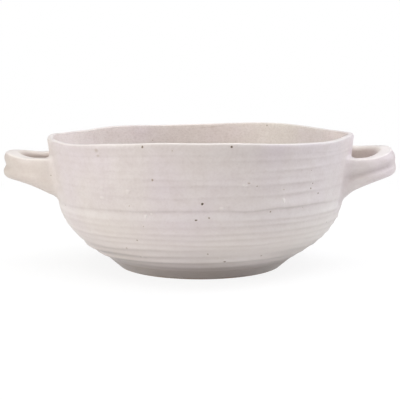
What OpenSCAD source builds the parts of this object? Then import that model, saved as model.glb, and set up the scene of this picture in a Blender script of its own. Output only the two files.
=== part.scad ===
// Lug soup bowl: a hand-thrown stoneware bowl on a low trimmed foot, with a grooved
// strap handle luted to the wall at each side.
// Millimetres, +Z up. The origin is the middle of the foot on the table, +X points to
// the right-hand handle and -Y to the side that faces the eater.

/* [Bowl] */
// Diameter over the rim
rim_d = 150; // [138:1:162]
// Height of the rim above the table
bowl_h = 65.7; // [60:0.1:74]
// Outside diameter where the lower wall turns upright
belly_d = 140; // [132:1:146]
// Height at which it turns
belly_h = 30; // [26:0.5:34]
// Thickness of the wall at that height
wall_t = 4.4; // [3.4:0.1:5.5]
// Thickness of the lip
lip_t = 2.8; // [2.2:0.1:3.4]
// Thickness of the floor
floor_t = 6; // [4.5:0.25:7.5]

/* [Foot] */
// Diameter of the foot on the table
foot_d = 81.5; // [76:0.5:86]
// Height of the foot ring
foot_h = 5; // [4.5:0.25:6]
// Width of the face that it stands on
foot_w = 7; // [5.5:0.25:9]
// Slope of the trimmed side above the table, in degrees
foot_slope = 41; // [38:1:46]
// Radius of the foot's lower edges
foot_edge_r = 1; // [0.6:0.1:1.6]

/* [Throwing] */
// Depth of the finger grooves
ring_depth = 0.7; // [0:0.05:1]
// Distance from groove to groove along the wall
ring_pitch = 4.8; // [4:0.1:7]
// How much the rim rises towards the right-hand handle
rim_rise = 0.8; // [0:0.1:1.5]
// How much the rim sags over the handles and stands up between them
rim_sag = 0.55; // [0:0.05:1.5]
// Height of the short waves along the rim
rim_ripple = 0.5; // [0:0.1:1]
// Height of the longer waves between them
rim_wave = 0.3; // [0:0.05:0.6]
// How far the rim is out of round
plan_warp = 0.7; // [0:0.1:1.5]

/* [Handles] */
// How far a handle stands out beyond the rim
lug_reach = 23.7; // [19:0.1:28]
// Width over the middle of the strap where it leaves the wall
lug_w = 41; // [36:0.5:50]
// Distance from the rim down to the top of the strap at the wall
lug_drop = 10.8; // [9:0.1:13]
// How much higher the top of the strap is at the tip
strap_rise = 2; // [0:0.1:3]
// Height of the strap at the tip
strap_tip_h = 13; // [10:0.1:15]
// Height of the strap at the wall
strap_root_h = 17.6; // [15:0.2:20]
// Thickness of the strap
strap_t = 9; // [7:0.25:10]
// Radius of the blend into the wall
lug_blend = 4; // [3:0.25:6]
// Depth of the thumb groove along the outer face
groove_depth = 1.5; // [0:0.1:2]
// How much further the ridge under the groove stands out at the tip than the one above
ridge_lead = 1.1; // [0:0.1:2]
// How much higher the right-hand handle sits
right_lift = 1.5; // [0:0.1:2]
// Tilt of the left-hand handle, in degrees, far side up
left_tilt = 0; // [-5:0.5:5]
// Tilt of the right-hand handle, in degrees, far side up
right_tilt = 4.5; // [-5:0.5:5]

/* [Smoothness] */
// Facets round the bowl
around = 64; // [48:8:80]
// Rows of facets up the outside
rows = 52; // [40:4:60]

/* [Hidden] */

glaze = [0.86, 0.83, 0.8];
glaze_warm = [0.87, 0.84, 0.79];
bare_clay = [0.6, 0.54, 0.49];

rim_r = rim_d / 2;
seat_r = foot_d / 2 + foot_h / tan(foot_slope);
lip_r = lip_t / 2;
floor_z = foot_h + floor_t;

// Slope of the wall at the belly and at the rim
belly_slope = 72;
rim_slope = 83;
// How far each end of a span of the wall keeps its slope, as shares of that span
outside_shares = [0.12, 0.45, 0.28, 0.28];
inside_shares = [0.6, 0.26, 0.3, 0.3];

// Fine steps along a curve before it is divided evenly
fine = 60;
lip_steps = 6;
edge_steps = 4;
inner_rows = 20;
// How much closer the rows of the floor lie towards the wall
inner_spread = 0.85;

// Grooves per turn, which makes them climb as a screw
ring_starts = 2;
// How narrow the ridges between the grooves are
ring_sharp = 1.4;
// Depth of the grooves, ring by ring from the foot to the rim
ring_shares = [0.2, 0.6, 0.8, 0.9, 1, 0.9, 0.9, 1, 0.8, 0.35, 0.45, 0.35, 0.2, 0.2, 0];
// The side where the fingers pressed harder
ring_side = 325;
ring_side_share = 0.5;
// Depth of the grooves inside
ring_inside_share = 0.35;

// How far a cut runs past what it cuts, and a strap past the wall that cuts it
overrun = 3;
// The blend ends on the wall with this thin an edge
blend_edge = 0.5;

// Sections along half of a strap and points round each
strap_steps = 13;
strap_points = 24;
// How the sections gather towards the wall and how late the strap deepens
gather = 1.6;
deepen = 2;
// Where along the strap's reach its top begins to rise and over how much of the reach it
// does, both as shares, and how late
rise_start_share = 0.5;
rise_over_share = 0.48;
rise_late = 1.3;
// How square the strap is below and above: 1 is round and 0 is square
squareness = 0.68;
squareness_top = 0.52;
// Width of the thumb groove as a share of the strap's height
groove_w_share = 0.17;
// For each handle, the groove's place above the strap's middle at the tip and at the wall,
// as shares of its height, and what is left of the groove at the wall
left_groove_shares = [0.03, 0.1, 0.25];
right_groove_shares = [-0.03, -0.12, 0.7];
// How late the groove comes in along the strap
groove_late = 1.5;

function along(slope) = [cos(slope), sin(slope)];

function bezier(a, b, c, d, t) =
    pow(1 - t, 3) * a + 3 * pow(1 - t, 2) * t * b + 3 * (1 - t) * t * t * c + pow(t, 3) * d;

// A span of a profile from a to b, with its slope at both ends and the two shares
function span(a, slope_a, b, slope_b, share_a, share_b) =
    let (l = norm(b - a))
    [for (i = [0 : fine])
        bezier(a, a + l * share_a * along(slope_a), b - l * share_b * along(slope_b), b, i / fine)];

function tail(v) = [for (i = [1 : len(v) - 1]) v[i]];

// Length of a polyline up to each of its points
function lengths(v) =
    [for (i = 0, s = 0; i < len(v); i = i + 1, s = i < len(v) ? s + norm(v[i] - v[i - 1]) : s) s];

// The point at a given length of a polyline
function at_length(v, run, s) =
    [for (axis = [0, 1]) lookup(s, [for (i = [0 : len(v) - 1]) [run[i], v[i][axis]]])];

belly = [belly_d / 2, belly_h];
belly_in = belly - wall_t * [sin(belly_slope), -cos(belly_slope)];
lip_out = [rim_r, bowl_h - lip_r];
lip_in = [rim_r - lip_t, bowl_h - lip_r];

outside = concat(
    span([seat_r, foot_h], foot_slope, belly, belly_slope, outside_shares[0], outside_shares[1]),
    tail(span(belly, belly_slope, lip_out, rim_slope, outside_shares[2], outside_shares[3])));
outside_run = lengths(outside);
outside_l = outside_run[len(outside) - 1];

inside = concat(
    span([0, floor_z], 0, belly_in, belly_slope, inside_shares[0], inside_shares[1]),
    tail(span(belly_in, belly_slope, lip_in, rim_slope, inside_shares[2], inside_shares[3])));
inside_run = lengths(inside);
inside_l = inside_run[len(inside) - 1];

// Radius of the true round wall at a height
function wall_r(z) = lookup(z, [for (p = outside) [p[1], p[0]]]);

// The profile once round the clay: [radius, height, groove depth, length along the wall]
outer_rows = [for (i = [0 : rows])
    let (s = outside_l * i / rows, p = at_length(outside, outside_run, s))
    [p[0], p[1], ring_depth, s]];
lip_rows = [for (i = [1 : lip_steps - 1])
    let (a = 180 * i / lip_steps)
    [rim_r - lip_r + lip_r * cos(a), bowl_h - lip_r + lip_r * sin(a), 0, 0]];
inner_rows_down = [for (i = [inner_rows : -1 : 1])
    let (s = inside_l * pow(i / inner_rows, inner_spread), p = at_length(inside, inside_run, s))
    [p[0], p[1], ring_depth * ring_inside_share, s - inside_l + outside_l]];
profile = concat(outer_rows, lip_rows, inner_rows_down);

// One point of the thrown surface: the round profile, out of true more and more towards
// the rim, with finger grooves that climb round the wall
function thrown(p, angle) =
    let (
        height = max(0, p[1] - foot_h) / (bowl_h - foot_h),
        weight = height * p[0] / rim_r,
        turn = p[3] / ring_pitch,
        share = lookup(turn, [for (i = [0 : len(ring_shares) - 1]) [i, ring_shares[i]]]),
        press = 1 + ring_side_share * cos(angle - ring_side),
        ridge = pow((1 + cos(360 * (turn - ring_starts * angle / 360))) / 2, ring_sharp),
        groove = p[2] * share * press * (ridge - 1 / 2),
        out = plan_warp * (cos(4 * angle - 30) * 3 / 4 - sin(3 * angle) + cos(angle) / 2),
        r = p[0] + weight * out + groove * min(1, 4 * height),
        up = rim_rise * cos(angle) - rim_sag * cos(2 * angle) - rim_ripple * sin(5 * angle)
            + rim_wave * (sin(3 * angle) - sin(4 * angle) + cos(4 * angle) / 2)
    )
    [r * cos(angle), r * sin(angle), p[1] + weight * up];

function column_angle(j) = 360 * j / around;

module bowl() {
    n = around;
    m = len(profile);
    points = concat(
        [[0, 0, foot_h]],
        [for (p = profile, j = [0 : n - 1]) thrown(p, column_angle(j))],
        [[0, 0, floor_z]]);
    faces = concat(
        [for (j = [0 : n - 1]) [0, 1 + j, 1 + (j + 1) % n]],
        [for (i = [0 : m - 2], j = [0 : n - 1])
            let (a = 1 + i * n + j, b = 1 + i * n + (j + 1) % n)
            each [[a, a + n, b + n], [a, b + n, b]]],
        [for (j = [0 : n - 1]) [1 + m * n, 1 + (m - 1) * n + (j + 1) % n, 1 + (m - 1) * n + j]]);
    color(glaze) polyhedron(points, faces);
}

module foot_ring() {
    r = foot_d / 2;
    inner_r = r - foot_w;
    e = foot_edge_r;
    outer_edge = [for (i = [0 : edge_steps])
        let (a = foot_slope * i / edge_steps)
        [r - e * tan(foot_slope / 2) + e * sin(a), e - e * cos(a)]];
    inner_edge = [for (i = [edge_steps : -1 : 0])
        let (a = 90 * i / edge_steps)
        [inner_r + e - e * sin(a), e - e * cos(a)]];
    color(bare_clay)
        rotate_extrude($fn = around)
            polygon(concat(inner_edge, outer_edge, [[seat_r, foot_h], [inner_r, foot_h]]));
}

// A slab of the wall round a handle's seat. Its outer face is the bowl's own.
module seat_slab(middle, low, high, half_angle) {
    near = [for (p = outer_rows) if (p[1] > low && p[1] < high) p];
    half = ceil(half_angle * around / 360);
    first = middle - half;
    n = 2 * half + 1;
    m = len(near);
    outer = [for (p = near, j = [0 : n - 1]) thrown(p, column_angle(first + j))];
    inner = [for (i = [0 : m - 1], j = [0 : n - 1])
        let (q = outer[i * n + j], a = column_angle(first + j))
        q - seat_cut * [cos(a), sin(a), 0]];
    back = m * n;
    faces = concat(
        [for (i = [0 : m - 2], j = [0 : n - 2])
            let (a = i * n + j, b = a + 1, d = a + n, c = d + 1)
            each [[a, d, c], [a, c, b], [back + a, back + c, back + d], [back + a, back + b, back + c]]],
        [for (j = [0 : n - 2])
            let (a = j, b = j + 1, d = (m - 1) * n + j, c = d + 1)
            each [[a, b, back + b], [a, back + b, back + a], [c, d, back + d], [c, back + d, back + c]]],
        [for (i = [0 : m - 2])
            let (a = i * n, d = a + n, b = a + n - 1, c = d + n - 1)
            each [[d, a, back + a], [d, back + a, back + d], [b, c, back + c], [b, back + c, back + b]]]);
    polyhedron(concat(outer, inner), faces);
}

strap_top = bowl_h - lug_drop;
seat_z = strap_top - strap_root_h / 2;
lug_wall_r = wall_r(seat_z);
root_y = lug_w / 2;
root_x = sqrt(pow(lug_wall_r, 2) - pow(root_y, 2));
tip_x = rim_r + lug_reach - strap_t / 2 - ridge_lead / 2;
// The strap runs in behind the wall at its lowest and widest corner, and the slab of wall
// that cuts its seat reaches back over it
seat_low_r = wall_r(seat_z - strap_root_h / 2 - lug_blend) - overrun;
let_in = root_x - sqrt(pow(seat_low_r, 2) - pow(root_y + strap_t / 2 + lug_blend, 2));
seat_cut = rim_r / 2;

// How much the strap swells at a distance from the wall, as a round blend
function blend(d) =
    let (rest = lug_blend - max(d, blend_edge))
    rest <= 0 ? 0 : lug_blend - sqrt(pow(lug_blend, 2) - pow(rest, 2));

function power(v, exponent) = sign(v) * pow(abs(v), exponent);

function clamp(v) = min(1, max(0, v));

// One section of the strap at an angle round its bow, let in by some length past the root
function strap_section(angle, inset, lift, tilt, groove_shares) =
    let (
        deep = tip_x - root_x,
        c = cos(angle),
        x = root_x + deep * c - inset,
        y = root_y * sin(angle),
        across = [c / deep, sin(angle) / root_y],
        side = across / norm(across),
        top = strap_top + strap_rise * pow(clamp((c - rise_start_share) / rise_over_share), rise_late),
        low = strap_top + strap_rise - strap_tip_h
            - (strap_root_h + strap_rise - strap_tip_h) * pow(1 - c, deepen),
        h = top - low,
        z = (top + low) / 2 + lift + y * tan(tilt),
        groove_at = groove_shares[1] + (groove_shares[0] - groove_shares[1]) * c,
        deep_share = groove_shares[2] + (1 - groove_shares[2]) * pow(max(0, c), groove_late)
    )
    [for (i = [0 : strap_points - 1])
        let (
            a = 360 * i / strap_points,
            square = squareness + (squareness_top - squareness) * clamp(2 * sin(a) + 1 / 2),
            up = h / 2 * power(sin(a), square),
            face = max(0, cos(a)),
            from_groove = (up / h - groove_at) / groove_w_share,
            out = strap_t / 2 * power(cos(a), square)
                - groove_depth * deep_share * sqrt(face) * exp(-from_groove * from_groove)
                - ridge_lead * c * face * sin(a),
            swell = blend(norm([x, y] + side * out) - wall_r(z + up)),
            far = out + swell * cos(a)
        )
        [x + side[0] * far, y + side[1] * far, z + up + swell * sin(a)]];

module strap(lift, tilt, groove_shares) {
    angles = [for (k = [-strap_steps : strap_steps])
        sign(k) * 90 * (1 - pow(1 - abs(k) / strap_steps, gather))];
    sections = concat(
        [strap_section(-90, let_in, lift, tilt, groove_shares)],
        [for (a = angles) strap_section(a, 0, lift, tilt, groove_shares)],
        [strap_section(90, let_in, lift, tilt, groove_shares)]);
    n = strap_points;
    m = len(sections);
    start = [root_x - let_in, -root_y, seat_z + lift - root_y * tan(tilt)];
    end = [root_x - let_in, root_y, seat_z + lift + root_y * tan(tilt)];
    faces = concat(
        [for (i = [0 : m - 2], j = [0 : n - 1])
            let (a = i * n + j, d = i * n + (j + 1) % n)
            each [[a, d, d + n], [a, d + n, a + n]]],
        [for (j = [0 : n - 1]) [m * n, (j + 1) % n, j]],
        [for (j = [0 : n - 1]) [m * n + 1, (m - 1) * n + j, (m - 1) * n + (j + 1) % n]]);
    polyhedron(concat([for (s = sections) each s], [start, end]), faces);
}

// A handle is pressed on to the wall, so its seat is the wall's own shape
module lug(middle, lift, tilt, groove_shares) {
    reach = strap_root_h / 2 + lug_blend + root_y * tan(abs(tilt)) + overrun;
    half_angle = asin((root_y + strap_t / 2 + lug_blend + overrun) / lug_wall_r);
    difference() {
        rotate([0, 0, column_angle(middle)]) strap(lift, tilt, groove_shares);
        seat_slab(middle, seat_z + lift - reach, seat_z + lift + reach, half_angle);
    }
}

module handle_left() {
    color(glaze_warm) lug(around / 2, 0, -left_tilt, left_groove_shares);
}

module handle_right() {
    color(glaze) lug(0, right_lift, right_tilt, right_groove_shares);
}

bowl();
foot_ring();
handle_left();
handle_right();
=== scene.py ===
import math
from types import SimpleNamespace

import bpy
import numpy as np
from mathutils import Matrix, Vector


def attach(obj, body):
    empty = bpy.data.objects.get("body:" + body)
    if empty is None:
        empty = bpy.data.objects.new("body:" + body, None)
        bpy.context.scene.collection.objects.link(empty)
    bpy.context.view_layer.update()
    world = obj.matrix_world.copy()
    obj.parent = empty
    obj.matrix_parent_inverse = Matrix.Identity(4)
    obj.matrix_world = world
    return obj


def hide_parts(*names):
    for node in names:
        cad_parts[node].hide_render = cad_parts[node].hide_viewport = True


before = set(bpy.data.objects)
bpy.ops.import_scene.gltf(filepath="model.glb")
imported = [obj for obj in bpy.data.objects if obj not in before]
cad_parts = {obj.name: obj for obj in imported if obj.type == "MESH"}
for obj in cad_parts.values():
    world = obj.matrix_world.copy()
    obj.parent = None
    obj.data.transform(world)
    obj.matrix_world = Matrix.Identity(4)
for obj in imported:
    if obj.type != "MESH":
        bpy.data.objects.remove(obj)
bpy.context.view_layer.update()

MM = 0.001
TAU = 2 * math.pi

# The bowl's sizes, in mm

RIM_R, BOWL_H = 75.0, 65.7
BELLY_R, BELLY_H = 70.0, 30.0
WALL_T, LIP_T, FLOOR_T = 4.4, 2.8, 6.0
FOOT_R, FOOT_H, FOOT_W, FOOT_EDGE, FOOT_SLOPE = 40.75, 5.0, 7.0, 1.0, math.radians(41)
SEAT_R = FOOT_R + FOOT_H / math.tan(FOOT_SLOPE)
LIP_R = LIP_T / 2
FLOOR_Z = FOOT_H + FLOOR_T
BELLY_SLOPE, RIM_SLOPE = math.radians(72), math.radians(83)
# How far the glazed surface keeps inside the warped solid, so that it stays within its box
KEEP_IN, KEEP_DOWN = 0.02, 0.01
# The wall's usual radius, which turns angles into lengths
MEAN_R = 71
# Points round the bowl, and rows up the wall, over the lip and down inside
AROUND, ROWS_OUT, ROWS_LIP, ROWS_IN = 336, 196, 13, 73
SPAN_POINTS = 400


def along(slope):
    """The step of length 1, outwards and up, that a slope makes."""
    return np.array([math.cos(slope), math.sin(slope)])


def span(a, slope_a, b, slope_b, share_a, share_b):
    """A curve that leaves a and meets b at given slopes. The shares say how long it keeps them."""
    a, b = np.array(a, float), np.array(b, float)
    size = np.linalg.norm(b - a)
    c, d = a + size * share_a * along(slope_a), b - size * share_b * along(slope_b)
    t = np.linspace(0, 1, SPAN_POINTS)[:, None]
    return (1 - t) ** 3 * a + 3 * (1 - t) ** 2 * t * c + 3 * (1 - t) * t**2 * d + t**3 * b


BELLY_IN = (BELLY_R - WALL_T * math.sin(BELLY_SLOPE), BELLY_H + WALL_T * math.cos(BELLY_SLOPE))
OUTSIDE = np.vstack([
    span((SEAT_R, FOOT_H), FOOT_SLOPE, (BELLY_R, BELLY_H), BELLY_SLOPE, 0.12, 0.45),
    span((BELLY_R, BELLY_H), BELLY_SLOPE, (RIM_R, BOWL_H - LIP_R), RIM_SLOPE, 0.28, 0.28)[1:],
])
INSIDE = np.vstack([
    span((0, FLOOR_Z), 0, BELLY_IN, BELLY_SLOPE, 0.6, 0.26),
    span(BELLY_IN, BELLY_SLOPE, (RIM_R - LIP_T, BOWL_H - LIP_R), RIM_SLOPE, 0.3, 0.3)[1:],
])


def run(line):
    """How far along a line each of its points lies."""
    return np.concatenate([[0], np.cumsum(np.linalg.norm(np.diff(line, axis=0), axis=1))])


OUT_RUN, IN_RUN = run(OUTSIDE), run(INSIDE)


def wall_r(z):
    """The true wall's radius outside at a height."""
    return np.interp(z, OUTSIDE[:, 1], OUTSIDE[:, 0])


def hump(x, middle, width):
    """A soft hump, 1 high in its middle."""
    return np.exp(-(((x - middle) / width) ** 2))


def spot(a, z, deg, height, wide, tall):
    """A soft spot on the wall: its middle and its widths in degrees and mm."""
    return np.exp(-(((np.degrees(a) % 360 - deg) / wide) ** 2) - ((z - height) / tall) ** 2)


def turned(a, middle):
    """The angle from a middle one, between minus and plus half a turn."""
    return (a - middle + math.pi) % TAU - math.pi


def power(v, e):
    """A power that keeps the sign."""
    return np.sign(v) * np.abs(v) ** e


# How the thrown wall is out of true

def plan_warp(a):
    """How far the rim stands out of the circle."""
    return 0.7 * (0.75 * np.cos(4 * a - math.radians(30)) - np.sin(3 * a) + 0.5 * np.cos(a))


def rim_rise(a):
    """How far the rim rises and sinks."""
    return (0.8 * np.cos(a) - 0.55 * np.cos(2 * a) - 0.5 * np.sin(5 * a)
            + 0.3 * (np.sin(3 * a) - np.sin(4 * a) + np.cos(4 * a) / 2))


def weight(r, z):
    """How much of the rim's warp a place on the true wall takes."""
    return np.maximum(0, z - FOOT_H) / (BOWL_H - FOOT_H) * r / RIM_R


# Where the lip alone sank or lifted under the fingers: degrees, mm down, width in degrees
RIM_SAGS = [(54, -0.14, 16), (108, 0.25, 13), (147, 0.5, 9), (178, -0.75, 8),
            (216, 0.45, 8), (236, -0.3, 7), (269, 0.6, 11), (326, 0.72, 12)]
SAG_Z, SAG_OVER = 50, 13


def rim_sag(a, z):
    """How far the lip sank. It begins at SAG_Z and is full SAG_OVER higher."""
    total = sum(size * hump(np.degrees(a) % 360, deg, width) for deg, size, width in RIM_SAGS)
    return total * np.clip((z - SAG_Z) / SAG_OVER, 0, 1) ** 2


# The throwing ridges. Each runs round the bowl through points: degrees, the height in mm of its
# lower edge, and how far it stands out. First come its widths below and above its crest.
RIDGES = [
    (0.8, 1.2, [(20, 5.8, .3), (120, 6.2, .2), (230, 6.8, .35), (270, 6.5, .55), (310, 7.5, .65),
                (345, 5.7, .4)]),
    (0.8, 1.3, [(20, 8.6, .4), (130, 9.2, .25), (212, 8.2, 1.5), (230, 9.2, 1.0), (250, 9.7, .7),
                (270, 10.0, .8), (290, 10.6, 1.0), (318, 10.5, .4), (345, 8.0, .5)]),
    (0.8, 1.4, [(20, 12.6, .4), (130, 12.4, .25), (212, 11.6, 1.5), (225, 13.0, .6),
                (245, 12.7, .45), (260, 13.4, .35), (280, 13.8, .2), (318, 14.4, .2),
                (345, 11.9, .6)]),
    (0.9, 1.5, [(20, 16.2, .4), (130, 16.4, .25), (212, 15.7, .25), (230, 15.8, .5),
                (242, 16.7, .45), (260, 16.9, .35), (280, 17.3, .25), (310, 17.3, .15),
                (345, 15.4, .5)]),
    (0.7, 1.1, [(20, 19.2, .35), (130, 19.6, .15), (220, 19.5, .2), (250, 20.1, .15),
                (270, 19.5, .3), (295, 19.6, .4), (315, 20.3, .1), (345, 18.4, .5)]),
    (0.7, 1.1, [(20, 22.4, .3), (130, 22.4, .15), (220, 22.3, .35), (245, 22.7, .25),
                (270, 22.2, .2), (300, 23.0, .35), (320, 22.6, .15), (345, 22.1, .25)]),
    (0.8, 1.2, [(20, 25.6, .4), (130, 25.2, .15), (212, 25.4, .05), (240, 24.9, .2),
                (270, 24.8, .35), (295, 25.7, .35), (310, 25.9, .45), (334, 25.4, .25),
                (350, 24.8, .6)]),
    (0.8, 1.2, [(20, 28.6, .15), (130, 28.4, .1), (235, 27.7, .15), (270, 28.4, .1),
                (290, 29.0, .45), (303, 29.4, .6), (320, 29.0, .1), (345, 28.8, .15)]),
    (0.8, 1.1, [(20, 31.0, .25), (130, 31.2, .1), (230, 30.6, .1), (270, 31.2, .05),
                (300, 31.7, .45), (318, 31.5, .35), (340, 30.8, .2)]),
    (0.7, 3.2, [(20, 35.6, .4), (130, 35.4, .3), (212, 35.0, .2), (230, 35.8, .25),
                (250, 35.7, .6), (275, 36.2, .4), (280, 36.4, .5), (287, 35.4, .8),
                (294, 36.9, .9), (304, 37.1, 1.15), (318, 37.2, .75), (330, 36.1, .1),
                (345, 35.8, .35)]),
    (0.8, 1.2, [(20, 42.6, .15), (130, 42.2, .1), (230, 42.9, .05), (260, 41.0, .15),
                (285, 42.2, .2), (300, 42.6, .25), (311, 43.4, .4), (322, 43.1, .05),
                (340, 43.2, .15)]),
    (0.8, 1.5, [(20, 47.0, .15), (130, 46.6, .15), (220, 45.7, .1), (250, 46.2, .05),
                (275, 47.0, .35), (290, 46.9, .2), (302, 47.7, .35), (312, 47.8, .35),
                (324, 47.5, .05)]),
    (0.7, 1.1, [(20, 50.0, .1), (130, 50.2, .1), (240, 50.2, .05), (262, 49.1, .2),
                (280, 49.8, .1), (300, 51.0, .1), (325, 50.0, .05)]),
    (0.7, 1.0, [(20, 53.4, .1), (130, 53.0, .05), (240, 53.4, .05), (275, 52.2, .05),
                (300, 53.7, .15), (310, 53.8, .25), (322, 54.2, .05)]),
    (0.8, 1.3, [(20, 57.6, .1), (130, 57.2, .1), (240, 57.0, .05), (275, 57.3, .1),
                (300, 58.4, .2), (318, 58.3, .1), (335, 58.6, .15)]),
    (0.7, 1.0, [(20, 60.8, .05), (130, 60.4, .05), (270, 60.2, .1), (300, 61.9, .05),
                (325, 60.6, .15)]),
]
MIDDLE_RIDGE = 9
# A ridge's lower edge is where it is steepest, this share of its width below its crest
EDGE = 0.707
# Over how many degrees a ridge's course is rounded
ROUNDED = 17
# Where the hand left a side fuller or leaner: degrees, mm out, height, how tall
FULLNESS = [(350, 0.35, 22, 8), (190, -0.35, 35, 6), (190, -0.5, 8, 4)]


def along_ridge(a, points):
    """A ridge's height on the wall and how far it stands out, at each angle."""
    at, *values = np.array(points, float).T
    at = np.concatenate([at[-2:] - 360, at, at[:2] + 360])
    fine = np.arange(-20, 381, 1.0)
    kernel = np.hanning(ROUNDED) / np.hanning(ROUNDED).sum()
    out = []
    for v in values:
        w = np.interp(fine, at, np.concatenate([v[-2:], v, v[:2]]))
        w = np.convolve(np.pad(w, ROUNDED // 2, mode="edge"), kernel, "valid")
        out.append(np.interp(np.degrees(a) % 360, fine, w))
    return out


def waver(a, seed, low, high):
    """A smooth closed wave round the bowl, from about -1 to 1, with low to high waves in a turn."""
    rng = np.random.default_rng(seed)
    total = np.zeros_like(a)
    size = 0
    for k in range(low, high + 1):
        total = total + np.cos(k * a + rng.uniform(0, TAU)) / k
        size += 1 / k
    return total / size * 1.6


def relief(a, z):
    """How far the thrown surface stands out at an angle and a height on the true wall."""
    a, z = np.broadcast_arrays(np.asarray(a, float), np.asarray(z, float))
    out = np.zeros(a.shape)
    for i, (below, above, points) in enumerate(RIDGES):
        at, size = along_ridge(a, points)
        at = at + 0.12 * waver(a, 10 + i, 8, 20)
        size = size * (1 + 0.16 * waver(a, 40 + i, 6, 18))
        u = z - at - EDGE * below
        out = out + size * np.exp(-((u / np.where(u < 0, below, above)) ** 2))
    for deg, size, height, tall in FULLNESS:
        side = ((1 + np.cos(a - math.radians(deg))) / 2) ** 4
        out = out + size * side * hump(z, height, tall)
    # A little uneven all over
    out = out + 0.10 * waver(a, 90, 3, 9) * np.sin(z / 9.0)
    out = out + 0.06 * waver(a, 91, 5, 14) * np.cos(z / 5.0)
    fade = np.clip((z - FOOT_H) / 1.5, 0, 1) * np.clip((BOWL_H - 2 - z) / 4, 0, 1)
    return (out - 0.25) * fade


def echo(a, r, z):
    """How far the wall's inside follows the relief, a little lower down. It fades on the floor."""
    return 0.35 * relief(a, np.maximum(z - 1.5, FOOT_H)) * np.minimum(1, r / 40)


def flank(a, z):
    """How steeply the relief stands out upwards, which is where its lower flanks face down and
    shade is painted.
    """
    step = 0.15
    return (relief(a, z + step) - relief(a, z - step)) / (2 * step)


def thin_corner(a, z):
    """Painted shade round the right corner of the foot."""
    return 1.5 * spot(a, z, 320, 4, 14, 4)


def thinness(a, z):
    """Where shade is painted: on the lower flanks of the ridges, which face down, low at the sides,
    round the foot's right corner and below the lip. It is made lighter just below the middle ridge
    and low on the wall."""
    # Painted shade low on the wall at the sides and round the foot's right corner, lighter at 15 mm
    side = np.clip((np.abs(np.cos(a)) - 0.35) / 0.4, 0, 1)
    low = 1.5 * side * hump(z, 12.5, 4) - 0.25 * hump(z, 15, 6) + thin_corner(a, z)
    # Painted shade under the lip
    shade_under_lip = 0.35 * spot(a, z, 288, 60, 22, 4)
    band = z - along_ridge(a, RIDGES[MIDDLE_RIDGE][2])[0]
    return np.minimum(flank(a, z), 1.4) + low + shade_under_lip - 0.5 * hump(band, -2.5, 1.9)


# A few soft lumps and dents under the glaze: degrees, mm, radius, height
LUMPS = [
    (233.0, 45.7, 2.2, 0.16), (232.6, 41.3, 2.6, 0.18), (244.0, 44.5, 3.0, 0.10),
    (223.0, 23.9, 2.0, 0.14), (250.5, 33.9, 1.9, 0.20), (254.0, 34.4, 1.6, 0.10),
    (300.6, 40.6, 1.9, 0.18), (287.8, 48.3, 1.7, -0.22), (285.4, 47.7, 1.6, 0.20),
    (262.0, 43.0, 4.0, 0.07), (276.0, 26.0, 1.6, 0.10), (281.5, 12.3, 1.9, 0.22),
    (278.6, 13.0, 1.6, 0.14), (215.0, 40.0, 4.0, 0.10), (312.0, 55.0, 5.0, 0.10),
    (60.0, 40.0, 3.0, 0.15), (100.0, 30.0, 2.4, 0.18), (140.0, 50.0, 4.0, 0.12),
    (35.0, 20.0, 2.2, 0.16), (158.0, 26.0, 2.6, 0.14), (351.0, 55.0, 9.0, 0.6),
    (189.0, 53.0, 8.0, 0.4), (343.0, 13.5, 7.0, 0.75), (347.0, 22.0, 7.0, 0.35),
]


def lumps(a, z):
    """How far the lumps stand out at an angle and a height on the true wall."""
    out = np.zeros(np.broadcast(a, z).shape)
    for deg, height, radius, size in LUMPS:
        away = (turned(a, math.radians(deg)) * MEAN_R) ** 2 + (z - height) ** 2
        out = out + size * np.exp(-away / radius**2)
    return out


def warped(a, r, z, out=0.0, up=0.0):
    """The world point, in mm, of a place on the true bowl, moved out and up from it."""
    w = weight(r, z)
    r = r + w * (plan_warp(a) - KEEP_IN) + out
    z = z + w * (rim_rise(a) - KEEP_DOWN) - rim_sag(a, z) + up
    return np.stack([r * np.cos(a), r * np.sin(a), z], -1)


def on_wall(a, z, h=0.0):
    """The world point at an angle, a height on the true wall and a distance out."""
    return warped(a, wall_r(z), z, relief(a, z) + lumps(a, z) + h)


def in_wall(a, z, h=0.0):
    """The same inside, where h goes towards the middle."""
    r = np.interp(z, INSIDE[:, 1], INSIDE[:, 0])
    return warped(a, r, z, -echo(a, r, z) - h)


def off_wall(p):
    """The angle, the height on the true wall and the distance out of a world point."""
    a = np.arctan2(p[..., 1], p[..., 0])
    z = p[..., 2].copy()
    for _ in range(4):
        z = p[..., 2] - weight(wall_r(z), z) * rim_rise(a)
    r0 = wall_r(z)
    r = r0 + weight(r0, z) * plan_warp(a) + relief(a, z) + lumps(a, z)
    return a, z, np.hypot(p[..., 0], p[..., 1]) - r


# Mesh tools

def add_mesh(name, points, faces):
    """A smooth mesh from points in mm."""
    mesh = bpy.data.meshes.new(name)
    mesh.from_pydata((np.asarray(points) * MM).tolist(), [], faces)
    mesh.validate()
    mesh.polygons.foreach_set("use_smooth", [True] * len(mesh.polygons))
    mesh.update()
    ob = bpy.data.objects.new(name, mesh)
    bpy.context.scene.collection.objects.link(ob)
    return ob


def add_values(ob, name, values):
    """A value at each point, which the glaze reads by its name."""
    values = np.asarray(values, np.float32)
    ob.data.attributes.new(name, "FLOAT", "POINT").data.foreach_set("value", values)


def ring_faces(rows, n, first=0):
    """Quads between closed rows of n points each."""
    i, j = np.meshgrid(np.arange(rows - 1), np.arange(n), indexing="ij")
    a = first + i * n + j
    b = first + i * n + (j + 1) % n
    return np.stack([a, b, b + n, a + n], -1).reshape(-1, 4).tolist()


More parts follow.
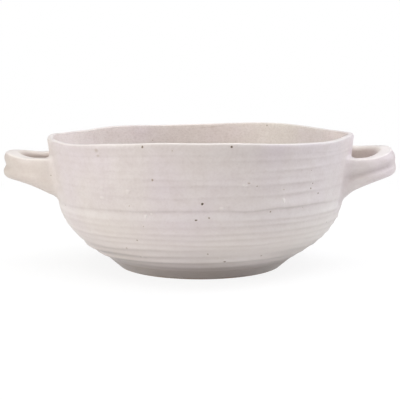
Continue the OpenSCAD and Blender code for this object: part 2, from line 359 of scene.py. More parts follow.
def closed_faces(rows, n):
    """The same, closed by fans to two points that follow the rows, one for each end."""
    j, last = np.arange(n), (rows - 1) * n
    near, far = np.full(n, rows * n), np.full(n, rows * n + 1)
    return (ring_faces(rows, n) + np.stack([near, (j + 1) % n, j], -1).tolist()
            + np.stack([far, last + j, last + (j + 1) % n], -1).tolist())


# The bowl

# The rows underneath, as shares of the seat's radius
UNDER_SHARES = (0.12, 0.4, 0.7, 0.93)
# The power that squares the lip, the painted highlight on its rows, and which one starts the inside
LIP_SQUARE = 0.6
LIP_HIGHLIGHT = 0.8 * np.array([0.5] + 8 * [1.0] + [0.8, 0.5, 0.4, 0.3, 0.15])
INNER_ROW = 9


def make_bowl():
    """Rows of points from the middle underneath up the wall, over the lip and down inside."""
    a = np.arange(AROUND) * TAU / AROUND
    seat = np.stack([SEAT_R * np.cos(a), SEAT_R * np.sin(a), 0 * a + FOOT_H], -1)
    under = [seat * [share, share, 1] for share in UNDER_SHARES]
    heights = np.interp(OUT_RUN[-1] * np.linspace(0, 1, ROWS_OUT), OUT_RUN, OUTSIDE[:, 1])
    rows = under + [on_wall(a, np.full(AROUND, z)) for z in heights]
    lip = len(rows)
    for t in np.linspace(0, math.pi, ROWS_LIP + 2)[1:-1]:
        r = RIM_R - LIP_R + LIP_R * power(math.cos(t), LIP_SQUARE)
        rows.append(warped(a, r, BOWL_H - LIP_R + LIP_R * math.sin(t) ** LIP_SQUARE))
    inside = len(rows)
    s = IN_RUN[-1] * np.linspace(1, 0, ROWS_IN + 1)[:-1] ** 0.8
    inner = [np.interp(s, IN_RUN, INSIDE[:, k]) for k in (0, 1)]
    for r, z in zip(*inner):
        # The spiral that the fingers left on the floor
        spiral = 0.24 * np.cos(r / 1.15 + a) * min(1, r / 6) * max(0, 1 - r / 58)
        rows.append(warped(a, r, z, -echo(a, r, z), spiral))
    points = np.vstack(rows + [[[0, 0, FOOT_H]], [[0, 0, FLOOR_Z + 0.05]]])
    ob = add_mesh("bowl_glazed", points, closed_faces(len(rows), AROUND))

    thin, thick = np.zeros((2, len(rows), AROUND))
    # Painted shade and light on the wall, and a painted highlight over the lip
    thin[len(under):lip] = [thinness(a, z) for z in heights]
    thick[lip + 1:lip + 1 + len(LIP_HIGHLIGHT)] = LIP_HIGHLIGHT[:, None]
    # Painted light inside, under the rim at both ends
    ends = (np.degrees(a) + 90) % 360 - 90
    painted_light_inside = 0.8 * hump(ends, 166, 16) + 0.5 * hump(ends, 10, 10)
    thick[inside:] += painted_light_inside * np.clip((inner[1][:, None] - 38) / 15, 0, 1)
    within = np.repeat(np.arange(len(rows)) >= lip + INNER_ROW, AROUND)
    for name, values, last in (("thin", thin.ravel(), 0), ("thick", thick.ravel(), 0),
                               ("warm", 0.25 * within, 0.25), ("inside", within, 1)):
        add_values(ob, name, np.concatenate([values, [0, last]]))
    return ob


# The handles

LUG_REACH, LUG_W, LUG_DROP = 23.6, 41.0, 10.8
ROOT_H, STRAP_T, STRAP_RISE, LOBE = 16.6, 9.0, 2.0, 1.1
STRAP_TOP = BOWL_H - LUG_DROP
LUG_WALL_R = float(wall_r(STRAP_TOP - ROOT_H / 2))
ROOT_Y = LUG_W / 2
ROOT_X = math.sqrt(LUG_WALL_R**2 - ROOT_Y**2)
TIP_X = RIM_R + LUG_REACH - STRAP_T / 2 - LOBE / 2
# The power that squares the section, all round and at its top, and how far the tip swells inwards
SQUARE, SQUARE_TOP, STRAP_SWELL = 0.68, 0.32, 1.1
# About how many mm there are to 1 of t, along a strap, and to 1 of f, round it
T_MM, F_MM = 30, 6
# Points round the strap, rows along it and rows of a blend
STRAP_ROUND, STRAP_ROWS, BLEND_ROWS = 96, 150, 18
# Where along the strap its roots are looked for, and how deep its last rows lie in the wall
ROOT_T = np.linspace(0.45, 1.25, 500)
SUNK = (0.05, 1.0, 1.6)


class Strap(SimpleNamespace):
    """One handle, as pulled by hand. Its values, in mm where they are lengths:

    middle: the angle of its tip; lift, tilt: how far it is raised, and its slope to one side
    tip_h, root_h: its height at the tip and at the roots
    groove, broad: the groove's depth and width; groove_tip, groove_root: its place on the face
    fade, late, full: the groove at the roots, how late it deepens, how full it is at the tip
    short, lean: how much shorter it reaches, and how far its top leans in at the tip
    foot, flare: how far its roots spread underneath and outwards
    dull, shade, pale, gap, drain, corner: the painted shade on the face, more so at its top,
    less at the roots where light is painted, on the inner face towards the wall, in the groove and
    in the corner of the blend
    warm: how creamy the glaze is; seed: where its slow unevenness starts"""

    def furrow(self, c, f):
        """How square the strap is at f, and its groove, from 0 to 1. c is 1 at the tip."""
        edge = np.clip(np.sin(f) * 2 + 0.5, 0, 1) * np.clip(1 + 1.5 * np.cos(f), 0, 1)
        square = SQUARE + (SQUARE_TOP - SQUARE) * edge
        place = self.groove_root + (self.groove_tip - self.groove_root) * c
        g = (power(np.sin(f), square) / 2 - place) / self.broad
        share = self.fade + (1 - self.fade) * c**self.late
        share = share * (1 - self.full * np.clip((c - 0.8) / 0.17, 0, 1))
        return square, share * np.sqrt(np.maximum(0, np.cos(f))) * np.exp(-g * g)

    def glaze(self, t, f):
        """The painted shade and the painted light: shade on the outer face towards the tip, on the
        inner face and in the groove, light on the face towards the roots, and a highlight along the
        top.
        """
        c = np.cos(np.clip(np.abs(t), 0, 1) * math.pi / 2)
        furrow = self.furrow(c, f)[1]
        inward = np.cos(f) < 0
        # Where it faces up, which gets a painted highlight
        top = np.sin(f) - np.where(inward, 0.45, 0.62)
        top = np.clip(top / np.where(inward, 0.4, 0.22), 0, 1) ** 1.5
        face, inner = np.clip(3 * np.cos(f), 0, 1), np.clip(-3 * np.cos(f), 0, 1)
        # Painted shade on the face towards the tip, painted light towards the roots, and painted
        # shade on the inner face
        body = self.dull * c**2 * (1 + self.shade * np.sin(f)) - self.pale * (1 - c) ** 2
        thin = (1 - top) * (face * body + inner * self.gap * (1.2 - 0.5 * np.sin(f)))
        return thin + self.drain * furrow, (1.15 - 0.3 * np.cos(f)) * top

    def at(self, t, f):
        """The surface: t from -1 to 1 along its bow and on into the wall, f round the strap."""
        angle = np.sign(t) * np.clip(np.abs(t), 0, 1) * math.pi / 2
        inset = np.maximum(0, np.abs(t) - 1) * T_MM
        deep = TIP_X - ROOT_X - self.short
        x = ROOT_X + deep * np.cos(angle) - inset
        y = ROOT_Y * np.sin(angle)
        # The bow's outward direction
        sx, sy = np.cos(angle) / deep, np.sin(angle) / ROOT_Y
        size = np.hypot(sx, sy)
        sx, sy = sx / size, sy / size
        c = np.cos(angle)
        high = STRAP_TOP + STRAP_RISE * np.clip((c - 0.5) / 0.48, 0, 1) ** 1.3
        low = STRAP_TOP + STRAP_RISE - self.tip_h
        low = low - (self.root_h + STRAP_RISE - self.tip_h) * (1 - c) ** 2.0
        z = (high + low) / 2 + self.lift + y * math.tan(self.tilt)
        square, furrow = self.furrow(c, f)
        up = (high - low) / 2 * power(np.sin(f), square)
        face = np.maximum(0, np.cos(f))
        out = (STRAP_T / 2 * power(np.cos(f), square) - self.groove * furrow
               - LOBE * c ** max(1.0, self.late / 2) * face * np.sin(f)
               - self.lean * c**2 * face * np.clip(np.sin(f), 0, 1)
               - STRAP_SWELL * c**4 * np.maximum(0, -np.cos(f)))
        # The pull of the hand: slow unevenness along the strap
        out = out + 0.12 * (np.sin(3.1 * t + self.seed) - 0.3) * face
        out = out + 0.07 * np.sin(7.3 * t + 2 * self.seed)
        up = up * (1 + 0.012 * np.sin(5.3 * t + self.seed))
        x, y, z = x + sx * out, y + sy * out, z + up
        c, s = math.cos(self.middle), math.sin(self.middle)
        return np.stack([x * c - y * s, x * s + y * c, z], -1)


def root_blend(strap, side, f, reach, spread):
    """Where the strap ends at one root, and the rows that take it over into the wall."""
    t = side * ROOT_T
    a, z, h = off_wall(strap.at(*np.meshgrid(t, f, indexing="ij")))
    a = turned(a, strap.middle)
    n = len(f)
    start, begin, corner = np.zeros(n), np.zeros((n, 3)), np.zeros((n, 3))
    rising = np.argsort(t)
    for j in range(n):
        order = np.argsort(h[:, j])
        start[j], meets = np.interp([reach[j], 0.0], h[order, j], t[order])
        for line, at in ((begin, start[j]), (corner, meets)):
            line[j, :2] = [np.interp(at, t[rising], v[rising, j]) for v in (a, z)]
    begin[:, 2] = reach
    nx = side * power(np.cos(f), 2 - SQUARE) / (STRAP_T / 2)
    nz = power(np.sin(f), 2 - SQUARE) / (ROOT_H / 2)
    size = np.hypot(nx, nz)
    end = np.stack([corner[:, 0] + spread * nx / size / LUG_WALL_R,
                    corner[:, 1] + spread * nz / size, np.full(n, -SUNK[0])], -1)
    line = []
    for k in range(1, BLEND_ROWS + 1):
        s = k / BLEND_ROWS
        line.append((1 - s) ** 2 * begin + 2 * s * (1 - s) * corner + s**2 * end)
    # The joint goes on inside the wall, where it closes
    line.append((end + corner) / 2 * [1, 1, 0] - [0, 0, SUNK[1]])
    line.append(corner - [0, 0, SUNK[2]])
    return start, [on_wall(q[:, 0] + strap.middle, q[:, 1], q[:, 2]) for q in line]


def make_handle(name, strap):
    """Rows of points from one root, through its blend, along the strap and to the other root."""
    f = np.arange(STRAP_ROUND) * TAU / STRAP_ROUND
    top, bottom = np.maximum(0, np.sin(f)), np.maximum(0, -np.sin(f))
    outer, inner = np.maximum(0, np.cos(f)), np.maximum(0, -np.cos(f))
    # How far the blend reaches along the strap and along the wall, round the strap
    reach = 2.4 + 1.0 * outer**2 + 1.2 * top**2 + strap.foot * bottom**2
    spread = 2.0 + strap.flare * outer**2 + 0.8 * top**2 + strap.foot * bottom**2
    low, first_rows = root_blend(strap, -1, f, reach, spread)
    high, last_rows = root_blend(strap, 1, f, reach, spread)
    rows, thin, thick = [], [], []
    for k in range(STRAP_ROWS + 1):
        s = k / STRAP_ROWS
        t = low * (1 - s) + high * s
        rows.append(strap.at(t, f))
        for values, value in zip((thin, thick), strap.glaze(t, f)):
            values.append(value)
    rows = first_rows[::-1] + rows + last_rows
    points = np.vstack(rows + [rows[0].mean(0), rows[-1].mean(0)])
    faces = [q[::-1] for q in closed_faces(len(rows), STRAP_ROUND)]
    ob = add_mesh(name, points, faces)

    # Along the blend each fades into the wall's own values, but for a line of painted shade in the
    # corner (painted light where corner is below 0)
    fade = np.append(1 - np.linspace(0, 1, BLEND_ROWS + 1)[1:], [0, 0])[:, None]
    line = (4 * fade * (1 - fade)) ** 2 * strap.corner * outer**2
    warm = strap.warm * (0.6 + 0.4 * outer) * (1 - 0.6 * top**2) + 1.2 * inner
    for name, values, more in (("thin", thin, line), ("thick", thick, 0 * line),
                               ("warm", [warm] * len(thin), 0 * line)):
        before, after = fade[::-1] * values[0] + more[::-1], fade * values[-1] + more
        add_values(ob, name, np.append(np.vstack([before, values, after]), [0, 0]))
    return ob


LEFT = Strap(
    middle=math.pi, lift=0.0, tilt=0.0, tip_h=13.2, root_h=18.2,
    groove=1.3, groove_tip=0.03, groove_root=0.10, fade=0.12, late=4.5, full=0.0, broad=0.14,
    short=0.0, lean=0.2, foot=1.6, flare=2.4,
    dull=0.98, shade=-0.55, pale=0.5, gap=1.3, drain=0.5, corner=-0.1, warm=0.75, seed=3.1)
RIGHT = Strap(
    middle=0.0, lift=1.5, tilt=math.radians(4.5), tip_h=12.8, root_h=17.3,
    groove=1.5, groove_tip=0.01, groove_root=-0.02, fade=0.95, late=1.5, full=0.75, broad=0.11,
    short=0.28, lean=2.2, foot=4.6, flare=3.6,
    dull=0.5, shade=0.8, pale=0.8, gap=0.3, drain=1.0, corner=0.6, warm=0.2, seed=0.6)


# The foot

FOOT_AROUND = 256


def foot_line():
    """Radius and height along the ring's section, from its inner edge round to its inner face."""
    inner, e, cut = FOOT_R - FOOT_W, FOOT_EDGE, FOOT_EDGE * math.tan(FOOT_SLOPE / 2)
    line = []
    for k in range(9):
        t = math.pi / 2 * (1 - k / 8)
        line.append((inner + e - e * math.sin(t), e - e * math.cos(t)))
    for k in range(1, 12):
        line.append((inner + e + (FOOT_W - e - cut) * k / 12, 0.0))
    for k in range(9):
        t = FOOT_SLOPE * k / 8
        line.append((FOOT_R - cut + e * math.sin(t), e - e * math.cos(t)))
    r0, z0 = line[-1]
    for k in range(1, 15):
        line.append((r0 + (SEAT_R - r0) * k / 14, z0 + (FOOT_H - z0) * k / 14))
    return line + [(inner, FOOT_H), (inner, (FOOT_H + e) / 2)]


def make_foot():
    """The turned ring, with trimming lines and the drag of grog under the tool."""
    a = np.arange(FOOT_AROUND) * TAU / FOOT_AROUND
    rows = []
    for r, z in foot_line():
        rub = 0.05 * math.sin(r * 5.1) + 0.04 * math.sin(r * 11.3 + 1)
        if z < 0.001:
            z = z + 0.05 * np.abs(rub) * (1 + waver(a, 200, 9, 21))
        elif z < FOOT_H:
            r = r + 0.06 * waver(a, 201, 3, 11)
        rows.append(np.stack([r * np.cos(a), r * np.sin(a), z + 0 * a], -1))
    points = np.vstack(rows)
    # Back from the last row to the first
    n, j, last = FOOT_AROUND, np.arange(FOOT_AROUND), (len(rows) - 1) * FOOT_AROUND
    back = np.stack([last + j, last + (j + 1) % n, (j + 1) % n, j], -1).tolist()
    ob = add_mesh("foot_ring_trimmed", points, ring_faces(len(rows), n) + back)
    # Painted shade round the foot's right corner
    add_values(ob, "thin", thin_corner(np.arctan2(points[:, 1], points[:, 0]), points[:, 2]))
    return ob


bowl = make_bowl()
left = make_handle("strap_handle_left", LEFT)
right = make_handle("strap_handle_right", RIGHT)
foot = make_foot()

# Materials


def srgb(r, g, b):
    """A colour given from 0 to 255, as it looks."""
    def lin(c):
        c /= 255
        return c / 12.92 if c <= 0.04045 else ((c + 0.055) / 1.055) ** 2.4
    return (lin(r), lin(g), lin(b), 1.0)


def grey(v):
    """A grey given as an amount of light."""
    return (v, v, v, 1.0)


class Nodes:
    """The nodes of a material or of the world. Most calls return the new node's main output."""

    def __init__(self, owner):
        owner.use_nodes = True
        self.tree = owner.node_tree
        self.tree.nodes.clear()

    def add(self, kind, **inputs):
        """A new node. A name that starts with _ is a setting, any other one is an input."""
        node = self.tree.nodes.new(kind)
        for key, value in inputs.items():
            if key.startswith("_"):
                setattr(node, key[1:], value)
        for key, value in inputs.items():
            if not key.startswith("_"):
                self.put(node, key, value)
        return node

    def put(self, node, key, value):
        """Link or set an input, by its name or, as i0, i1 and so on, by its number."""
        numbered = key[0] == "i" and key[1:].isdigit()
        socket = node.inputs[int(key[1:]) if numbered else key.replace("_", " ")]
        if isinstance(value, bpy.types.NodeSocket):
            self.tree.links.new(value, socket)
        else:
            socket.default_value = value

    def math(self, op, *values):
        inputs = {f"i{k}": value for k, value in enumerate(values)}
        return self.add("ShaderNodeMath", _operation=op, **inputs).outputs[0]

    def times(self, a, b):
        return self.math("MULTIPLY", a, b)

    def ramp(self, value, low, high, to_low=0.0, to_high=1.0, smooth=True):
        """From one value at low to another at high, and level beyond both."""
        kind = "SMOOTHSTEP" if smooth else "LINEAR"
        return self.add("ShaderNodeMapRange", _interpolation_type=kind, Value=value,
                        From_Min=low, From_Max=high, To_Min=to_low, To_Max=to_high).outputs[0]

    def mix(self, factor, a, b, blend="MIX"):
        return self.add("ShaderNodeMix", _data_type="RGBA", _blend_type=blend,
                        i0=factor, i6=a, i7=b).outputs[2]

    def noise(self, vector, scale, detail=2.0, rough=0.5):
        return self.add("ShaderNodeTexNoise", Vector=vector, Scale=scale, Detail=detail,
                        Roughness=rough).outputs[0]

    def cells(self, vector, scale):
        """Scattered points: how far the nearest one is, and two chance values that it has."""
        cells = self.add("ShaderNodeTexVoronoi", Vector=vector, Scale=scale)
        pick = self.add("ShaderNodeSeparateColor", Color=cells.outputs["Color"])
        return cells.outputs["Distance"], pick.outputs[0], pick.outputs[1]

    def stretched(self, vector, factors, move=(0, 0, 0)):
        return self.add("ShaderNodeMapping", Vector=vector, Scale=factors, Location=move).outputs[0]

    def value(self, name):
        """What add_values gave the mesh."""
        return self.add("ShaderNodeAttribute", _attribute_name=name).outputs["Fac"]

    def place(self):
        return self.add("ShaderNodeTexCoord").outputs["Object"]

    def surface(self, colour, rough, height, strength, depth):
        """The shader of a bumpy surface, joined to the output."""
        bump = self.add("ShaderNodeBump", Strength=strength, Distance=depth, Height=height)
        shader = self.add("ShaderNodeBsdfPrincipled", Base_Color=colour, Roughness=rough,
                          Normal=bump.outputs[0])
        self.add("ShaderNodeOutputMaterial", Surface=shader.outputs[0])
        return shader


def glaze_nodes(n, place):
    """Colour, with its painted shade and light, roughness and relief of the satin off-white glaze,
    in metres of object space.
    """
    x = n.add("ShaderNodeSeparateXYZ", Vector=place)
    across, height = x.outputs["X"], x.outputs["Z"]
    # Slow drifts between a pinkish grey and a creamier white, and a finer mottle
    drift = n.noise(place, 22, 2.5, 0.55)
    mottle = n.noise(n.stretched(place, (1, 1, 1.4), (0.3, 0.1, 0.2)), 170, 3, 0.6)
    grain = n.noise(place, 900, 2, 0.6)
    colour = n.mix(n.ramp(drift, 0.35, 0.65), srgb(218, 208, 210), srgb(220, 212, 208))
    colour = n.mix(n.ramp(mottle, 0.3, 0.72), n.mix(0.22, colour, srgb(196, 182, 176)), colour)
    colour = n.mix(n.ramp(grain, 0.2, 0.62), n.mix(0.14, colour, srgb(176, 160, 152)), colour)
    # Painted light: a little whiter low on the wall
    low = n.times(n.ramp(height, 0.005, 0.011), n.ramp(height, 0.036, 0.018))
    colour = n.mix(n.times(low, 0.4), colour, srgb(236, 227, 218))
    # Painted shade: darker low down over the foot
    shade_over_foot = n.ramp(height, 0.0115, 0.0035)
    colour = n.mix(n.times(shade_over_foot, 0.72), colour, srgb(145, 132, 122))
    # Painted shade, darker, on the lower flanks of the ridges, which face down, and in the other
    # shaded places that the meshes mark; painted light, whiter, where the value is below 0
    thin = n.value("thin")
    colour = n.mix(n.ramp(thin, 0.0, 2.8, 0.0, 0.52, smooth=False), colour, srgb(122, 108, 99))
    colour = n.mix(n.ramp(thin, 0.0, -1.0, 0.0, 0.35, smooth=False), colour, srgb(250, 246, 244))
    # Painted highlight over the lip, along the tops of the straps and on the nubs, and painted
    # light inside under the rim at both ends
    thick = n.ramp(n.value("thick"), 0.0, 2.0, 0.0, 0.9, smooth=False)
    colour = n.mix(thick, colour, srgb(252, 247, 242))
    # It is creamier in places, greener to the right, twice as much so inside, and pitted inside
    cream = n.mix(1.0, colour, srgb(254, 248, 236), "MULTIPLY")
    colour = n.mix(n.times(n.value("warm"), 0.5), colour, cream)
    inside = n.value("inside")
    right = n.times(n.ramp(across, 0.012, 0.062, 0.0, 0.6), n.ramp(across, 0.071, 0.063))
    right = n.times(right, n.math("MULTIPLY_ADD", inside, 0.5, 0.5))
    colour = n.mix(right, colour, n.mix(1.0, colour, srgb(247, 253, 250), "MULTIPLY"))
    pitted = n.noise(n.stretched(place, (1, 1, 1.7), (0.1, 0.5, 0.3)), 760, 3, 0.75)
    pitted = n.times(n.ramp(pitted, 0.55, 0.36), inside)
    colour = n.mix(n.times(pitted, 0.15), colour, srgb(150, 134, 122))
    # Iron that bled into it
    bled = n.math("MULTIPLY_ADD", n.noise(place, 2000, 2, 0.6), 0.8, 0.6)
    iron = n.times(n.value("iron"), bled)
    colour = n.mix(n.ramp(iron, 0.02, 0.45, 0.0, 0.6), colour, srgb(152, 128, 96))
    colour = n.mix(n.ramp(iron, 0.30, 0.85), colour, srgb(50, 36, 22))
    # Fine iron dust through the glaze
    away, chance, size = n.cells(place, 260.0)
    dot = n.ramp(n.math("SUBTRACT", n.times(size, 0.085), away), 0.0, 0.03)
    dust = n.times(dot, n.math("GREATER_THAN", chance, 0.962))
    colour = n.mix(n.times(dust, 0.55), colour, srgb(120, 92, 70))
    # Satin, a little glossier in places
    rough = n.ramp(n.noise(place, 60, 2, 0.5), 0.3, 0.7, 0.36, 0.47)
    # Relief: finger lines that run round the wall, orange peel and pinholes
    lines = n.noise(n.stretched(place, (14, 14, 900)), 1.0, 3, 0.65)
    peel = n.math("MULTIPLY_ADD", n.noise(place, 520, 2, 0.5), 1.0,
                  n.times(n.noise(place, 1500, 2, 0.55), 0.35))
    away, chance, _ = n.cells(n.stretched(place, (1, 1, 1), (0.7, 0.2, 0.4)), 330.0)
    pit = n.times(n.ramp(away, 0.0, 0.13, 1.0, 0.0), n.math("GREATER_THAN", chance, 0.93))
    bumps = n.math("SUBTRACT", n.math("MULTIPLY_ADD", lines, 0.9, peel), n.times(pit, 0.9))
    return colour, rough, bumps, height


def glaze_material():
    """The glaze on the bowl, the straps and the marks."""
    material = bpy.data.materials.new("satin_glaze")
    n = Nodes(material)
    colour, rough, bumps, _ = glaze_nodes(n, n.place())
    shader = n.surface(colour, rough, bumps, 0.55, 0.00012)
    shader.inputs["IOR"].default_value = 1.5
    shader.inputs["Specular IOR Level"].default_value = 0.35
    return material


def foot_material():
    """Glaze that stops short of the table, a brown line at its edge, and bare clay below."""
    material = bpy.data.materials.new("glaze_and_bare_clay")
    n = Nodes(material)
    place = n.place()
    colour, rough, bumps, height = glaze_nodes(n, place)
    wander = n.math("MULTIPLY_ADD", n.noise(place, 90, 3, 0.6), 0.0016, height)
    bare = n.ramp(wander, 0.0013, 0.0010)
    edge = n.times(n.ramp(wander, 0.0009, 0.0013), n.ramp(wander, 0.0017, 0.0013))
    clay = n.mix(n.noise(place, 700, 3, 0.7), srgb(150, 128, 108), srgb(186, 164, 142))
    clay = n.mix(n.ramp(n.noise(place, 1600, 2, 0.6), 0.62, 0.72), clay, srgb(96, 74, 58))
    colour = n.mix(bare, colour, clay)
    colour = n.mix(n.times(edge, 0.4), colour, srgb(130, 106, 88))
    rough = n.math("MULTIPLY_ADD", bare, 0.42, rough)
    bumps = n.math("ADD", bumps, n.times(n.noise(place, 2400, 3, 0.7), bare))
    n.surface(colour, rough, bumps, 0.6, 0.00015)
    return material


# Marks in the glaze

# On the wall: degrees, height, half width and height in mm, how far it stands out, iron, painted
# highlight
MARKS = [
    (270.8, 39.4, 0.74, 0.70, 0, 1.15, 0), (250.5, 64.2, 0.75, 0.70, 0, 0.8, 0),
    (280.4, 64.2, 0.65, 0.70, 0, 0.9, 0), (231.9, 63.0, 1.9, 1.2, 0, 0.29, 0),
    (232.4, 60.6, 1.3, 1.0, 0, 0.26, 0), (260.8, 62.5, 0.5, 0.45, 0, 0.4, 0),
    (253.6, 49.8, 0.80, 0.75, 0, 0.55, 0), (268.6, 32.2, 0.80, 0.52, 0, 0.9, 0),
    (273.2, 33.2, 0.7, 0.5, 0, 0.6, 0), (295.8, 35.6, 0.60, 0.48, 0, 0.7, 0),
    (313.1, 44.8, 0.62, 0.52, 0, 0.75, 0), (314.0, 47.0, 0.5, 0.44, 0, 0.65, 0),
    (317.8, 41.9, 0.60, 0.50, 0, 0.8, 0), (205.9, 34.3, 0.55, 0.46, 0, 0.5, 0),
    (244.3, 38.3, 0.55, 0.46, 0, 0.4, 0), (248.9, 29.0, 0.55, 0.46, 0, 0.35, 0),
    (244.6, 22.0, 0.66, 0.52, 0, 0.5, 0), (237.6, 17.3, 0.6, 0.5, 0, 0.5, 0),
    (241.7, 12.7, 0.52, 0.40, 0, 0.4, 0), (298.9, 13.3, 0.70, 0.52, 0, 0.5, 0),
    (281.5, 11.3, 0.9, 0.42, 0, 0.7, 0), (273.3, 15.7, 0.60, 0.60, 0, 0.45, 0),
    (289.8, 47.2, 0.52, 0.45, 0, 0.5, 0), (300.5, 45.4, 0.52, 0.45, 0, 0.4, 0),
    (98.0, 50.2, 0.55, 0.50, 0, 0.8, 0), (71.5, 37.0, 0.80, 0.70, 0, 1.0, 0),
    (120.0, 28.0, 0.5, 0.45, 0, 0.7, 0), (140.5, 57.0, 0.55, 0.45, 0, 0.8, 0),
    (45.0, 24.0, 0.64, 0.55, 0, 0.7, 0), (83.0, 18.0, 0.5, 0.45, 0, 0.6, 0),
    (160.0, 40.0, 0.50, 0.45, 0, 0.6, 0), (20.0, 31.0, 0.55, 0.45, 0, 0.6, 0),
    (109.0, 44.0, 0.42, 0.4, 0, 0.6, 0), (56.0, 59.0, 0.45, 0.40, 0, 0.7, 0),
    (330.0, 26.0, 0.45, 0.40, 0, 0.6, 0), (286.9, 48.5, 1.3, 0.45, 0, 0.42, 0),
    (300.6, 40.5, 0.95, 1.2, 0.36, 0, 0.4), (250.4, 33.7, 0.9, 1.1, 0.3, 0, 0.4),
    (252.6, 34.9, 0.70, 0.80, 0.20, 0, 0.3), (285.4, 47.7, 1.3, 0.8, 0.36, 0, 0.12),
    (277.6, 37.6, 1.5, 1.0, 0.26, 0, 0.1), (279.6, 38.4, 1.0, 0.8, 0.2, 0, 0),
    (233.0, 45.7, 1.7, 0.9, 0.18, 0, 0.15), (232.6, 41.3, 1.9, 1.0, 0.2, 0, 0.15),
    (223.0, 23.9, 1.8, 0.8, 0.24, 0, 0.1), (244.0, 44.5, 1.6, 1.3, 0.16, 0, 0.1),
    (262.5, 42.0, 2.2, 1.4, 0.12, 0, 0), (281.5, 12.6, 1.4, 0.7, 0.32, 0, 0.2),
    (278.8, 13.0, 0.9, 0.6, 0.22, 0, 0.2), (243.5, 12.9, 1.4, 0.7, 0.22, 0, 0.1),
    (276.0, 26.0, 1.0, 0.7, 0.16, 0, 0.1), (60.0, 40.0, 1.7, 1.0, 0.2, 0, 0.2),
    (100.0, 30.0, 1.3, 1.0, 0.24, 0, 0.3), (35.0, 20.0, 1.3, 0.8, 0.22, 0, 0.2),
    (158.0, 26.0, 1.4, 0.9, 0.2, 0, 0.1), (128.0, 47.0, 1.0, 0.9, 0.22, 0, 0.4),
]
# On a strap: the strap, the place along and round it, and the same
STRAP_MARKS = [
    (RIGHT, -0.563, 0.61, 0.60, 0.50, 0, 0.6, 0), (RIGHT, 0.45, 0.25, 0.45, 0.42, 0, 0.6, 0),
    (LEFT, -0.35, 0.30, 0.45, 0.40, 0, 0.6, 0), (LEFT, 0.2, 0.1, 0.8, 0.6, 0.15, 0, 0.3),
]
# Inside: as on the wall
INNER_MARKS = [
    (88.5, 63.6, 3.4, 0.4, 0, 0.25, 0), (84.5, 63.8, 4.4, 0.5, 0, 0.28, 0),
    (80.3, 64.1, 3.0, 0.4, 0, 0.25, 0), (58.5, 64.2, 0.6, 0.5, 0, 0.7, 0),
    (112.0, 57.0, 0.6, 0.5, 0, 0.5, 0), (250.0, 50.0, 0.6, 0.5, 0, 0.8, 0),
    (200.0, 40.0, 0.7, 0.6, 0, 0.7, 0), (310.0, 30.0, 0.7, 0.6, 0, 0.8, 0),
    (20.0, 52.0, 0.5, 0.5, 0, 0.6, 0),
]
# and on a blend: where, which way it faces, and the same
BLEND_MARKS = [((-71.24, -25.05, 47.31), (-0.350, -0.937, 0.0), 0.9, 0.35, 0, 0.45, 0)]

MARK_SIDES = 20
MARK_ROWS = np.array([0.1, 0.28, 0.46, 0.64, 0.8, 0.92, 1.0])[:, None]
UP = (0, 0, 1)


def make_marks():
    """Specks of iron and nubs of glaze, painted whiter as a highlight: small domed patches that
    rise out of the glaze.
    """
    rng = np.random.default_rng(5)
    turn = np.arange(MARK_SIDES) * TAU / MARK_SIDES
    every = MARKS + INNER_MARKS + [m[1:] for m in STRAP_MARKS] + BLEND_MARKS
    # Each mark's points: along, up and out in mm, its iron and its painted highlight
    u, v, h, iron, thick = np.zeros((5, len(every), len(MARK_ROWS), MARK_SIDES))
    for i, mark in enumerate(every):
        # white: how much painted highlight a nub has
        wide, tall, high, rust, white = mark[2:]
        wob = 1 + 0.10 * np.cos(2 * turn + rng.uniform(0, TAU))
        wob = wob + 0.07 * np.cos(3 * turn + rng.uniform(0, TAU))
        u[i] = wide * MARK_ROWS * wob * np.cos(turn)
        v[i] = tall * MARK_ROWS * wob * np.sin(turn)
        h[i] = high * (1 - MARK_ROWS**2) ** 1.3 + 0.03 - 0.07 * MARK_ROWS**4
        iron[i], thick[i] = rust * (1 - MARK_ROWS**1.5), 2 * white * (1 - MARK_ROWS**2)
    outer, k = len(MARKS), len(MARKS) + len(INNER_MARKS)
    deg, z = (np.array([m[j] for m in every[:k]])[:, None, None] for j in (0, 1))
    a, z = np.radians(deg) + u[:k] / wall_r(z), z + v[:k]
    points = [on_wall(a[:outer], z[:outer], h[:outer]), in_wall(a[outer:], z[outer:], h[outer:k])]
    # Each mark carries the painted shade of the surface under it
    thin = [thinness(a[:outer], z[:outer]), 0 * a[outer:]]
    for i, (strap, t, f) in enumerate((m[:3] for m in STRAP_MARKS), k):
        t, f = t + u[i] / T_MM, f + v[i] / F_MM
        p = strap.at(t, f)
        out = np.cross(strap.at(t, f + 0.001) - p, strap.at(t + 0.001, f) - p)
        out /= np.linalg.norm(out, axis=-1, keepdims=True)
        points.append(p + out * h[i][..., None])
        thin.append(strap.glaze(t, f)[0])
    for i, (p, out) in enumerate((m[:2] for m in BLEND_MARKS), k + len(STRAP_MARKS)):
        moves = ((u, np.cross(UP, out)), (v, UP), (h, out))
        points.append(sum((w[i][..., None] * np.array(way) for w, way in moves), np.array(p)))
        thin.append(0 * u[i])
    faces = []
    for i in range(len(every)):
        first = i * len(MARK_ROWS) * MARK_SIDES
        # A mark inside faces the other way
        way = 1 if outer <= i < k else -1
        faces += [q[::way] for q in ring_faces(len(MARK_ROWS), MARK_SIDES, first)]
        faces.append(list(range(first, first + MARK_SIDES))[::-way])
    ob = add_mesh("glaze_marks", np.vstack([p.reshape(-1, 3) for p in points]), faces)
    add_values(ob, "thin", np.concatenate([values.ravel() for values in thin]))
    add_values(ob, "iron", iron.ravel())
    add_values(ob, "thick", thick.ravel())
    return ob


marks = make_marks()
glaze = glaze_material()
for piece in (bowl, left, right, marks):
    piece.data.materials.append(glaze)
foot.data.materials.append(foot_material())

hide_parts("bowl")
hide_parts("handle_left")
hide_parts("handle_right")
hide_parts("foot_ring")
for piece in (bowl, left, right, foot, marks):
    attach(piece, "root")

# The stage

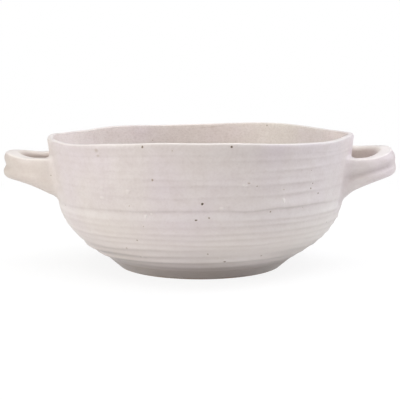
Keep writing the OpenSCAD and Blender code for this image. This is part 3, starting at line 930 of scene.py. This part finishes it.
# In metres from here on
FLOOR_HALF = 4.0
LAMP_AWAY, LAMP_SIZE, AIM = 1.2, 0.5, Vector((0, 0, 0.04))
WORLD_LIGHT = 0.18
EYE, LOOK_DOWN = (0.0, -0.500, 0.1019), 7.97
SENSOR, FOCAL_PX, PICTURE_PX = 36.0, 1001, 400


def make_floor():
    """White paper: what the camera sees is white but for the bowl's soft shadow."""
    mesh = bpy.data.meshes.new("floor")
    s = FLOOR_HALF
    mesh.from_pydata([(-s, -s, 0), (s, -s, 0), (s, s, 0), (-s, s, 0)], [], [(0, 1, 2, 3)])
    ob = bpy.data.objects.new("floor", mesh)
    bpy.context.scene.collection.objects.link(ob)
    material = bpy.data.materials.new("floor_white")
    n = Nodes(material)
    away = n.add("ShaderNodeVectorMath", _operation="LENGTH", i0=n.place()).outputs["Value"]
    far = n.ramp(away, 0.16, 0.36)
    paper = n.add("ShaderNodeBsdfDiffuse", Color=grey(0.68))
    shade = n.add("ShaderNodeBsdfDiffuse", Color=n.mix(far, grey(0.16), grey(0.0)))
    glow = n.add("ShaderNodeEmission", Color=n.mix(far, grey(0.86), grey(1.0)), Strength=1.0)
    both = n.add("ShaderNodeAddShader", i0=shade.outputs[0], i1=glow.outputs[0])
    path = n.add("ShaderNodeLightPath").outputs
    seen = n.math("MAXIMUM", path["Is Glossy Ray"], path["Is Transmission Ray"])
    seen = n.math("MAXIMUM", path["Is Camera Ray"], seen)
    pick = n.add("ShaderNodeMixShader", i0=seen, i1=paper.outputs[0], i2=both.outputs[0])
    n.add("ShaderNodeOutputMaterial", Surface=pick.outputs[0])
    mesh.materials.append(material)


def make_world():
    """A little light from all round, and plain white for the camera."""
    world = bpy.data.worlds.new("studio")
    bpy.context.scene.world = world
    n = Nodes(world)
    soft, white = (n.add("ShaderNodeBackground", Color=grey(1.0), Strength=strength).outputs[0]
                   for strength in (WORLD_LIGHT, 1.0))
    seen = n.add("ShaderNodeLightPath").outputs["Is Camera Ray"]
    pick = n.add("ShaderNodeMixShader", i0=seen, i1=soft, i2=white)
    n.add("ShaderNodeOutputWorld", Surface=pick.outputs[0])


def lamp(name, azimuth, height, watts, size=LAMP_SIZE):
    """A soft square lamp at an angle round the bowl and above the table."""
    light = bpy.data.lights.new(name, "AREA")
    light.shape = "SQUARE"
    light.size = size
    light.energy = max(watts)
    light.color = [w / max(watts) for w in watts]
    ob = bpy.data.objects.new(name, light)
    bpy.context.scene.collection.objects.link(ob)
    a, e = math.radians(azimuth), math.radians(height)
    way = Vector((math.cos(e) * math.cos(a), math.cos(e) * math.sin(a), math.sin(e)))
    ob.location = AIM + LAMP_AWAY * way
    ob.rotation_euler = (AIM - ob.location).to_track_quat("-Z", "Y").to_euler()


make_floor()
make_world()
lamp("side_left", 205, 12, (5.5, 5.4, 5.1))
lamp("front_left", 235, 10, (1.8, 1.7, 1.6))
lamp("front_right", 290, 10, (1.0, 0.95, 1.0))
lamp("side_right", 340, 12, (3.0, 2.9, 3.1))
lamp("back_right", 25, 18, (2.2, 2.3, 2.5))
lamp("above_right", 5, 50, (3.6, 3.7, 4.0))
lamp("above_left", 175, 50, (1.45, 1.5, 1.5))
lamp("above", 0, 90, (12.1, 12.3, 12.4), 1.4)

camera_data = bpy.data.cameras.new("camera")
camera = bpy.data.objects.new("camera", camera_data)
bpy.context.scene.collection.objects.link(camera)
camera.location = EYE
camera.rotation_euler = (math.radians(90 - LOOK_DOWN), 0, 0)
camera_data.sensor_width = SENSOR
camera_data.lens = FOCAL_PX / PICTURE_PX * SENSOR
bpy.context.scene.camera = camera

bpy.context.scene.view_settings.view_transform = "Standard"
